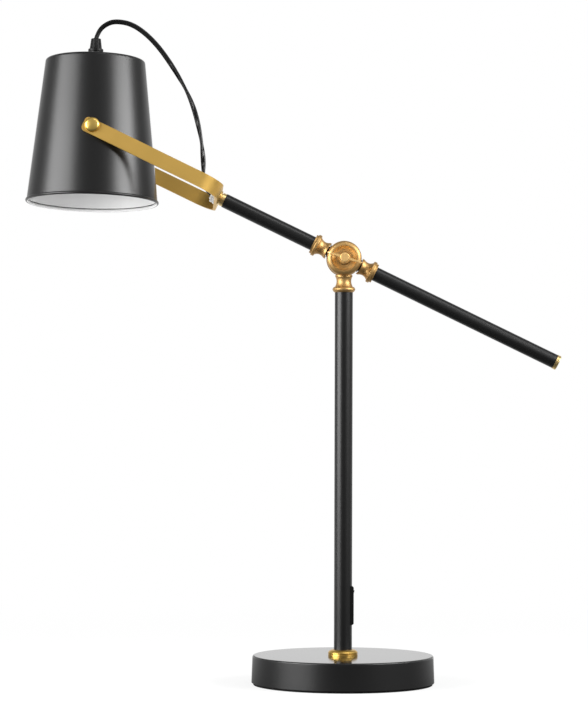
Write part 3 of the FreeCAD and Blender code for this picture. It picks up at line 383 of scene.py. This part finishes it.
# Every finish of the lamp; a colour is fixed here or named after a setting
FINISHES = {
    "paint": dict(
        title="Satin paint", kind="grain", colour="paint", roughness=0.35, low=0.3,
        depth=0.004, change=(0.10, 0.04), grain=1800.0, smudge=22.0),
    "lining": dict(
        title="White lining", kind="grain", colour="lining", roughness=0.42,
        depth=0.010, change=(0.03, 0.05), grain=1600.0, smudge=18.0),
    # The strap's bevels: polished brass lighter than the brushed faces, partly real polished edges and partly a
    # painted highlight along them.
    "edge": dict(
        title="Bright edges", kind="grain", colour="polished_brass", roughness=0.45,
        depth=0.002, change=(0.04, 0.05), metallic=0.5, grain=1500.0, smudge=60.0),
    "yoke": dict(
        title="Brushed brass", kind="brushed", colour="satin_brass", roughness=0.44,
        depth=0.006, change=(0.08, 0.12), metallic=0.9,
        turn=turn_onto(arm_x, X_AXIS), stretch=(30, 4000, 4000)),
    "casting": dict(
        title="Cast brass", kind="grain", colour="cast_brass", roughness=0.50,
        depth=0.001, change=(0.04, 0.04), metallic=1.0, grain=900.0, smudge=90.0,
        sockets=(("Coat Weight", 0.15), ("Coat Roughness", 0.35))),
    # The clamp screw in a lighter brass than the knuckle: partly its own brass, partly a painted highlight on its
    # bar.
    "screw": dict(
        title="Bright clamp screw", kind="grain", colour="screw_brass_and_highlight", roughness=0.45,
        depth=0.001, change=(0.05, 0.05), metallic=0.8, grain=900.0, smudge=90.0),
    "collar": dict(
        title="Turned brass collar", kind="lathe", colour="satin_brass", roughness=0.32,
        depth=0.30, change=(0.08, 0.06), metallic=1.0, pitch=600.0),
    "ferrule": dict(
        title="Turned brass ferrule", kind="lathe", colour="ferrule_brass", roughness=0.34,
        depth=0.004, change=(0.10, 0.06), metallic=1.0,
        centre=hub, turn=turn_onto(arm_x, Z_AXIS), pitch=3500.0),
    "knob": dict(
        title="Turned brass knob", kind="lathe", colour="polished_brass", roughness=0.34,
        depth=0.004, change=(0.10, 0.06), metallic=1.0,
        centre=pivot, turn=turn_onto(head_y, Z_AXIS), pitch=3500.0),
    "zinc": dict(
        title="Zinc plate", kind="grain", colour=(0.93, 0.93, 0.92), roughness=0.44,
        depth=0.004, change=(0.10, 0.10), metallic=0.8, grain=3000.0, smudge=120.0),
    "iron": dict(
        title="Cast iron", kind="grain", colour=(0.10, 0.10, 0.10), roughness=0.62,
        depth=0.10, change=(0.25, 0.10), metallic=0.6, grain=700.0, smudge=60.0),
    # The pad is near black: black foam rubber, darkened further as a painted contact shadow where it meets the
    # floor.
    "rubber": dict(
        title="Foam rubber", kind="grain", colour=(0.004, 0.004, 0.004), roughness=0.86,
        depth=0.02, change=(0.20, 0.08), grain=1500.0, smudge=40.0,
        sockets=(("Specular IOR Level", 0.2),)),
    "plastic": dict(
        title="Black moulding", kind="grain", colour=(0.002, 0.002, 0.002), roughness=0.46,
        depth=0.001, change=(0.10, 0.06), grain=2600.0, smudge=60.0,
        sockets=(("Specular IOR Level", 0.22),)),
    "holder": dict(
        title="White moulding", kind="grain", colour=(0.74, 0.74, 0.71), roughness=0.28,
        depth=0.006, change=(0.04, 0.05), grain=1200.0, smudge=60.0),
    "glass": dict(
        title="Opal glass", kind="grain", colour=(0.86, 0.86, 0.83), roughness=0.12,
        depth=0.004, change=(0.03, 0.04), grain=300.0, smudge=40.0,
        sockets=(("Coat Weight", 0.4), ("Coat Roughness", 0.05))),
    "sheath": dict(
        title="Cord sheath", kind="grain", colour="sheath", roughness=0.28,
        depth=0.001, change=(0.12, 0.08), grain=2200.0, smudge=120.0,
        sockets=(("Specular IOR Level", 0.3),)),
}
SLOT_FINISH = {
    "charcoal_paint": "paint", "satin_brass": "yoke", "polished_brass": "collar",
    "cast_brass": "casting", "zinc_steel": "zinc", "cast_weight": "iron",
    "pad_rubber": "rubber", "black_plastic": "plastic", "white_plastic": "holder",
    "opal_glass": "glass", "cord_sheath": "sheath",
}
# Pieces whose finish differs from that of their slot
NODE_FINISH = {
    "wing_screw": "screw", "yoke_ferrule": "ferrule", "end_cap": "ferrule",
    "arm_tongue": "paint", "pivot_knob_near": "knob", "pivot_knob_far": "knob",
    "pivot_bush_near": "knob", "pivot_bush_far": "knob",
}
finishes = {}


def set_finish(piece, *names):
    """Give a piece its finishes, one for each material slot."""
    slots = piece.data.materials
    while len(slots) < len(names):
        slots.append(None)
    for i in range(len(slots)):
        slots[i] = finishes[names[min(i, len(names) - 1)]]


def break_edges(piece, width, sharpest, slot):
    """Round the sharp edges of a piece and give them one of its material slots."""
    edge = piece.modifiers.new("Broken edges", "BEVEL")
    edge.width = width
    edge.material = slot
    edge.segments = 2
    edge.limit_method = "ANGLE"
    edge.angle_limit = math.radians(sharpest)


class LAMP_OT_finishes(bpy.types.Operator):
    """Build the finishes and give one to every piece of the construction"""
    bl_idname = "lamp.finishes"
    bl_label = "Finishes"

    def execute(self, context):
        tones = lamp(context, "colours")
        for name, look in FINISHES.items():
            colour = look["colour"]
            if isinstance(colour, str):
                colour = getattr(tones, colour)
            finishes[name] = finish(**{**look, "colour": colour})
        for part in frame["record"]["subparts"]:
            name = part["node"]
            set_finish(nodes[name], NODE_FINISH.get(name, SLOT_FINISH[part["material_slot"]]))
        # The bevels of the strap take the lighter edge finish: polished edges with a painted highlight along them.
        set_finish(nodes["yoke_strap"], "yoke", "edge")
        break_edges(nodes["yoke_strap"], width=0.5 * MM, sharpest=50, slot=1)
        return {"FINISHED"}


# Meshes
def new_piece(name, mesh_data, body=None):
    """An object in the scene from a bmesh, riding on a body where one is named."""
    mesh = bpy.data.meshes.new(name)
    mesh_data.to_mesh(mesh)
    mesh_data.free()
    piece = bpy.data.objects.new(name, mesh)
    bpy.context.scene.collection.objects.link(piece)
    if body:
        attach(piece, body)
    return piece


def keep_sharp(piece, angle):
    """Smooth shading that keeps edges sharper than the angle, in degrees."""
    piece.data.set_sharp_from_angle(angle=math.radians(angle))


def spin(profile, sides, place):
    """A closed surface turned about Z from a closed profile of (radius, height, material)."""
    data = bmesh.new()
    turns = [FULL_TURN * k / sides for k in range(sides)]
    rings = []
    for radius, height, _ in profile:
        rings.append([
            data.verts.new(place @ Vector((radius * math.cos(t), radius * math.sin(t), height)))
            for t in turns])
    for i, (_, _, material) in enumerate(profile):
        low, high = rings[i - 1], rings[i]
        for k in range(sides):
            after = (k + 1) % sides
            face = data.faces.new((low[k], low[after], high[after], high[k]))
            face.material_index = material
            face.smooth = True
    bmesh.ops.recalc_face_normals(data, faces=data.faces)
    return data


def arc(centre, radius, first, last, steps):
    """Points on an arc in the profile plane, angles in degrees from outwards."""
    turns = [math.radians(first + (last - first) * i / steps) for i in range(steps + 1)]
    return [(centre[0] + radius * math.cos(t), centre[1] + radius * math.sin(t)) for t in turns]


# Shade
OUTSIDE, INSIDE = 0, 1  # its material slots
SIDE_STEPS = 12
EDGE_STEPS = 10
INNER_EDGE_STEPS = 6
HEM_OUTSIDE = (-90, 60)  # degrees of the hem's arc that lies outside
HEM_INSIDE = (125, 255)
SHADE_SHARP = 35


def shade_profile(s):
    """The shade's section once round the sheet, as (radius, height, material)."""
    wall, rounding = s.sheet_wall, s.crown_round
    slope = (s.rim_radius - s.crown_radius) / (s.rim_drop + s.crown_rise)
    lean = math.degrees(math.atan(slope))
    low, high = s.hem_radius * 2 - s.rim_drop, s.crown_rise - rounding
    levels = [low + (high - low) * i / SIDE_STEPS for i in range(SIDE_STEPS + 1)]
    levels = [low, low + s.edge_ring] + levels[1:-1] + [high - s.edge_ring]
    side = [(s.rim_radius - slope * (level + s.rim_drop), level) for level in levels]
    hem = (s.rim_radius - s.hem_set, -s.rim_drop + s.hem_radius)
    crown = (s.crown_radius + slope * rounding - rounding * math.hypot(1, slope), high)
    flat = crown[0] - s.edge_ring

    outer = arc(hem, s.hem_radius, *HEM_OUTSIDE, EDGE_STEPS) + side
    outer += arc(crown, rounding, lean, 90, EDGE_STEPS)
    outer += [(flat, s.crown_rise), (s.gland_hole, s.crown_rise)]
    inner = [(s.gland_hole, s.crown_rise - wall), (flat, s.crown_rise - wall)]
    inner += arc(crown, rounding - wall, 90, lean, INNER_EDGE_STEPS)
    inner += [(radius - wall, level) for radius, level in reversed(side[1:])]
    # A slot over the hem whose faces take the outside's black paint: a painted shadow line inside the white
    # lining.
    back, ceiling = s.rim_radius - s.painted_shadow_slot_back, low + s.edge_ring
    sill = ceiling - s.painted_shadow_slot_height
    slot = [(back, ceiling), (back, sill), (s.rim_radius - wall, sill)]
    curl = arc(hem, s.hem_radius, *HEM_INSIDE, EDGE_STEPS)
    runs = ((outer, OUTSIDE), (inner, INSIDE), (slot, OUTSIDE), (curl, INSIDE))
    return [(radius, height, material) for run, material in runs for radius, height in run]


class LAMP_OT_shade(bpy.types.Operator):
    """Spin the shade: one sheet with a rounded top edge, a rolled hem and a white lining"""
    bl_idname = "lamp.shade"
    bl_label = "Shade"

    def execute(self, context):
        s = lamp(context, "sizes")
        surface = spin(shade_profile(s), s.shade_sides, shade_frame(s.shade_lean))
        piece = new_piece("lamp_shade", surface, "shade")
        set_finish(piece, "paint", "lining")
        keep_sharp(piece, SHADE_SHARP)
        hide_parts("shade_shell")
        return {"FINISHED"}


# Cord: the points of its route, in millimetres along the arm and square to it
CORD_ROUTE = [
    (-317.9, 96.6),
    (-315.4, 105.4),
    (-308.0, 113.8),
    (-289.5, 119.0),
    (-263.0, 112.5),
    (-233.0, 96.0),
    (-203.5, 75.0),
    (-180.8, 47.8),
    (-168.2, 27.4),
    (-162.6, 16.0),
    (-158.0, 7.4),
    (-152.6, 1.8),
]
CORD_START = 96.75  # its end at the gland, above the shade's pivot
CORD_END = -146.2  # its end at the yoke, along the arm
# Turns of the flat cord about its own line: share of its length, degrees
CORD_TWIST = [
    (0.0, 60), (0.14, 20), (0.28, 0), (0.40, 6), (0.47, 50), (0.53, 90), (0.655, 180),
    (0.775, 270), (0.85, 360), (0.905, 450), (1.0, 500)]
TWIST_EASE = 0.4  # how far each turn starts and ends softly, from 0 to 1
ROUTE_ORDER = 3
ROUTE_STEPS = 16
RING_POINTS = 28
GROOVE_SHARE = 0.90  # thickness at the groove as a share of the cores'
NEAR_ZERO = 1e-6
CORD_SHARP = 50


def spline_points(route):
    """Points along the smooth line that a cord's route controls."""
    curve = bpy.data.curves.new("cord_route", "CURVE")
    curve.dimensions = "3D"
    spline = curve.splines.new("NURBS")
    spline.points.add(len(route) - 1)
    for point, place in zip(spline.points, route):
        point.co = (*place, 1)
    spline.order_u = ROUTE_ORDER
    spline.use_endpoint_u = True
    spline.resolution_u = ROUTE_STEPS
    guide = bpy.data.objects.new("cord_route", curve)
    bpy.context.scene.collection.objects.link(guide)
    bpy.context.view_layer.update()
    mesh = bpy.data.meshes.new_from_object(guide)
    points = [vertex.co.copy() for vertex in mesh.vertices]
    bpy.data.objects.remove(guide)
    bpy.data.curves.remove(curve)
    bpy.data.meshes.remove(mesh)
    if (points[0] - route[0]).length > (points[-1] - route[0]).length:
        points.reverse()
    return points


def running_lengths(line):
    """The length of a line up to each of its points."""
    lengths = [0.0]
    for before, after in zip(line, line[1:]):
        lengths.append(lengths[-1] + (after - before).length)
    return lengths


def twist_at(share):
    """How far the flat cord has turned about its line at a share of its length."""
    for (start, angle), (end, next_angle) in zip(CORD_TWIST, CORD_TWIST[1:]):
        if share <= end:
            t = (share - start) / (end - start)
            t = t * t * (3 - 2 * t) * TWIST_EASE + t * (1 - TWIST_EASE)
            return math.radians(angle + (next_angle - angle) * t)
    return math.radians(CORD_TWIST[-1][1])


def twin_section(width, thickness):
    """The outline of a flat twin cord: two round cores in one sheath, with a shallow groove."""
    core = thickness / 2
    reach = width / 2 - core
    web = GROOVE_SHARE * core
    points = []
    for k in range(RING_POINTS):
        turn = FULL_TURN * k / RING_POINTS
        across, up = math.cos(turn) * width / 2, math.sin(turn) * core
        if abs(across) > reach:
            edge = abs(across) - reach
            up = math.copysign(math.sqrt(max(core * core - edge * edge, 0)), up)
        else:
            dip = (core - web) * 0.5 * (1 + math.cos(math.pi * across / reach))
            up = math.copysign(core - dip, up)
        if abs(math.sin(turn)) < NEAR_ZERO:
            up = 0.0
        points.append((across, up))
    return points


def cord_surface(line, lengths, section):
    """A section led along a line, turned as the cord is, and closed at both ends."""
    data = bmesh.new()
    rings = []
    for i, point in enumerate(line):
        ahead = line[min(i + 1, len(line) - 1)] - line[max(i - 1, 0)]
        ahead.normalize()
        turn = Quaternion(ahead, twist_at(lengths[i] / lengths[-1]))
        flat = turn @ ahead.cross(head_y).normalized()
        thin = ahead.cross(flat)
        rings.append([data.verts.new(point + flat * x + thin * y) for x, y in section])
    for low, high in zip(rings, rings[1:]):
        for k in range(RING_POINTS):
            after = (k + 1) % RING_POINTS
            face = data.faces.new((low[k], low[after], high[after], high[k]))
            face.smooth = True
    data.faces.new(rings[0])
    data.faces.new(rings[-1])
    bmesh.ops.recalc_face_normals(data, faces=data.faces)
    return data


class LAMP_OT_cord(bpy.types.Operator):
    """Lay the flat twin cord from the gland to the middle of the yoke"""
    bl_idname = "lamp.cord"
    bl_label = "Cord"

    def execute(self, context):
        s = lamp(context, "sizes")
        route = [shade_frame(s.shade_lean) @ Vector((0, 0, CORD_START * MM))]
        route += [head_frame @ Vector((along * MM, 0, up * MM)) for along, up in CORD_ROUTE]
        route.append(head_frame @ Vector((CORD_END * MM, 0, 0)))
        line = spline_points(route)
        lengths = running_lengths(line)
        section = twin_section(s.cord_width, s.cord_thickness)
        piece = new_piece("twin_cord", cord_surface(line, lengths, section))
        set_finish(piece, "sheath")
        keep_sharp(piece, CORD_SHARP)
        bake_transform(piece)
        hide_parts("shade_cord")
        return {"FINISHED"}


# Studio
# Softboxes: place, point that each faces, width and height
SOFTBOXES = {
    "left": ((-1.80, -0.92, 0.80), (0, 0, 0.58), 1.75, 1.3),
    "right": ((1.64, -0.80, 1.10), (-0.3, 0, 0.68), 1.55, 0.62),
    "top": ((0.55, -0.6, 1.7), (0.25, 0, 0.4), 1.2, 0.5),
}
# Brightness in reflections from the camera's side (-1) to the far side (1): the two places
# between which the camera's side keeps its own brightness, then (place, brightness)
RAMP_LOW, RAMP_HIGH = -1, 1
WORLD_FRONT, WORLD_STOPS = (-1, -0.3), [(0, 0.20), (0.5, 0.35), (0.94, 1)]
FLOOR_FRONT, FLOOR_STOPS = (-0.6, -0.2), [(0, 0.3), (0.12, 0.38), (0.6, 1)]

FLOOR_RADIUS = 6.0
FLOOR_SIDES = 96
FLOOR_HEIGHT = -0.2 * MM  # just below the lamp's pad, so that the two don't share a plane
FLOOR_GREY = 0.80
FADE_START, FADE_END = 0.20, 1.10  # distances over which the floor turns into backdrop
FADE_SHARE = 0.80  # share of backdrop in the floor beside the lamp

SENSOR_WIDTH = 36  # in millimetres
CLIP_END = 100
WHITE = (1, 1, 1, 1)


def soft_light(name, place, aim, width, height, power):
    """A softbox at a place, facing a point."""
    data = bpy.data.lights.new(name, "AREA")
    data.shape = "RECTANGLE"
    data.size, data.size_y = width, height
    data.energy = power
    light = bpy.data.objects.new(name, data)
    light.location = place
    light.rotation_euler = (Vector(aim) - Vector(place)).to_track_quat("-Z", "Y").to_euler()
    bpy.context.scene.collection.objects.link(light)


def shine_ramp(tree, place, front, shine, stops):
    """Brightness in reflections by how far a place or direction lies behind the lamp."""
    stops = [(value, shine) for value in front] + stops
    depth = add_node(tree, "ShaderNodeSeparateXYZ", [(0, place)]).outputs[1]
    span = add_node(tree, "ShaderNodeMapRange", [
        ("From Min", RAMP_LOW), ("From Max", RAMP_HIGH), ("Value", depth)])
    ramp = add_node(tree, "ShaderNodeValToRGB", [("Fac", span.outputs[0])])
    while len(ramp.color_ramp.elements) < len(stops):
        ramp.color_ramp.elements.new(0.5)
    for element, (value, level) in zip(ramp.color_ramp.elements, stops):
        element.position = (value - RAMP_LOW) / (RAMP_HIGH - RAMP_LOW)
        element.color = (level, level, level, 1)
    return ramp.outputs["Color"]


def rays(tree, *kinds):
    """One where a ray is of any of the kinds, nought elsewhere."""
    path = add_node(tree, "ShaderNodeLightPath")
    found = path.outputs[f"Is {kinds[0]} Ray"]
    for kind in kinds[1:]:
        found = math_node(tree, "MAXIMUM", found, path.outputs[f"Is {kind} Ray"])
    return found


def make_world(scene, studio):
    """Even ambient light; white behind the lamp, dimmer on the camera's side in reflections."""
    world = bpy.data.worlds.new("Studio")
    world.use_nodes = True
    tree = world.node_tree
    tree.nodes.clear()
    direction = add_node(tree, "ShaderNodeTexCoord").outputs["Generated"]
    ramp = shine_ramp(tree, direction, WORLD_FRONT, studio.front_shine, WORLD_STOPS)
    shine = math_node(tree, "MAXIMUM", rays(tree, "Camera"), ramp)
    mixed = add_node(tree, "ShaderNodeMix", [
        ("Factor", rays(tree, "Camera", "Glossy", "Transmission")), ("A", studio.ambient),
        ("B", shine)], data_type="FLOAT")
    glow = add_node(tree, "ShaderNodeBackground", [
        ("Color", WHITE), ("Strength", mixed.outputs[0])])
    add_node(tree, "ShaderNodeOutputWorld", [("Surface", glow.outputs[0])])
    scene.world = world


def mix_shaders(tree, share, first, second):
    """Two shaders mixed by a share of the second."""
    inputs = [(0, share), (1, first.outputs[0]), (2, second.outputs[0])]
    return add_node(tree, "ShaderNodeMixShader", inputs)


def floor_material(studio):
    """Matt floor near the lamp that fades into the white backdrop; clear from below."""
    material = bpy.data.materials.new("Pale floor")
    material.use_nodes = True
    tree = material.node_tree
    tree.nodes.clear()
    place = object_place(tree)
    ramp = shine_ramp(tree, place, FLOOR_FRONT, studio.floor_shine, FLOOR_STOPS)
    shine = math_node(tree, "MAXIMUM", rays(tree, "Camera"), ramp)
    white = add_node(tree, "ShaderNodeEmission", [("Color", WHITE), ("Strength", shine)])
    grey = (FLOOR_GREY, FLOOR_GREY, FLOOR_GREY, 1)
    matt = add_node(tree, "ShaderNodeBsdfDiffuse", [("Color", grey)])
    distance = vector_node(tree, "LENGTH", [(0, place)]).outputs["Value"]
    fade = add_node(tree, "ShaderNodeMapRange", [
        ("From Min", FADE_START), ("From Max", FADE_END), ("To Min", FADE_SHARE),
        ("To Max", 1.0), ("Value", distance)], interpolation_type="SMOOTHSTEP")
    reach = math_node(tree, "MAXIMUM", fade.outputs[0], rays(tree, "Glossy"))
    seen = math_node(tree, "MULTIPLY", rays(tree, "Camera", "Glossy", "Transmission"), reach)
    above = mix_shaders(tree, seen, matt, white)
    below = add_node(tree, "ShaderNodeNewGeometry").outputs["Backfacing"]
    surface = mix_shaders(tree, below, above, add_node(tree, "ShaderNodeBsdfTransparent"))
    add_node(tree, "ShaderNodeOutputMaterial", [("Surface", surface.outputs[0])])
    return material


def make_floor(studio):
    """A round pale floor that keeps the lamp's shadow."""
    data = bmesh.new()
    bmesh.ops.create_circle(data, cap_ends=True, segments=FLOOR_SIDES, radius=FLOOR_RADIUS,
                            matrix=Matrix.Translation((0, 0, FLOOR_HEIGHT)))
    floor = new_piece("studio_floor", data)
    floor.data.materials.append(floor_material(studio))


def make_camera(scene, studio):
    """The camera at the photograph's place, with no shift."""
    ahead = Vector((
        math.sin(studio.yaw) * math.cos(studio.pitch),
        math.cos(studio.yaw) * math.cos(studio.pitch),
        math.sin(studio.pitch)))
    level = Vector((math.cos(studio.yaw), -math.sin(studio.yaw), 0))
    up = level.cross(ahead)
    right = level * math.cos(studio.roll) + up * math.sin(studio.roll)
    data = bpy.data.cameras.new("Camera")
    data.sensor_fit = "AUTO"
    data.sensor_width = SENSOR_WIDTH
    data.lens = studio.lens
    data.clip_end = CLIP_END
    camera = bpy.data.objects.new("Camera", data)
    axes = Matrix((right, right.cross(ahead), -ahead)).transposed()
    camera.matrix_world = Matrix.Translation(studio.eye) @ axes.to_4x4()
    scene.collection.objects.link(camera)
    scene.camera = camera


class LAMP_OT_studio(bpy.types.Operator):
    """Set up the floor, the white backdrop, three softboxes and the camera"""
    bl_idname = "lamp.studio"
    bl_label = "Studio"

    def execute(self, context):
        scene = context.scene
        studio = lamp(context, "studio")
        scene.view_settings.view_transform = "Standard"
        make_camera(scene, studio)
        make_world(scene, studio)
        make_floor(studio)
        for side, box in SOFTBOXES.items():
            soft_light(side + "_softbox", *box, getattr(studio, side + "_power"))
        return {"FINISHED"}


STEPS = [LAMP_OT_finishes, LAMP_OT_shade, LAMP_OT_cord, LAMP_OT_studio]


class LAMP_PT_panel(bpy.types.Panel):
    """Steps that build the lamp's looks, and their settings"""
    bl_idname = "LAMP_PT_panel"
    bl_label = "Balance lamp"
    bl_space_type = "VIEW_3D"
    bl_region_type = "UI"
    bl_category = "Lamp"

    def draw(self, context):
        for step in STEPS:
            self.layout.operator(step.bl_idname)
        for group in ("colours", "sizes", "studio"):
            settings = lamp(context, group)
            box = self.layout.box()
            for name in settings.__annotations__:
                box.prop(settings, name)


CLASSES = [*GROUP_CLASSES.values(), *STEPS, LAMP_PT_panel]


def register():
    for item in CLASSES:
        bpy.utils.register_class(item)
    for name, item in GROUP_CLASSES.items():
        setattr(bpy.types.Scene, name, PointerProperty(type=item))


def unregister():
    for name in GROUP_CLASSES:
        delattr(bpy.types.Scene, name)
    for item in reversed(CLASSES):
        bpy.utils.unregister_class(item)


def main():
    register()
    bpy.ops.lamp.finishes()
    bpy.ops.lamp.shade()
    bpy.ops.lamp.cord()
    bpy.ops.lamp.studio()


if __name__ == "__main__":
    main()
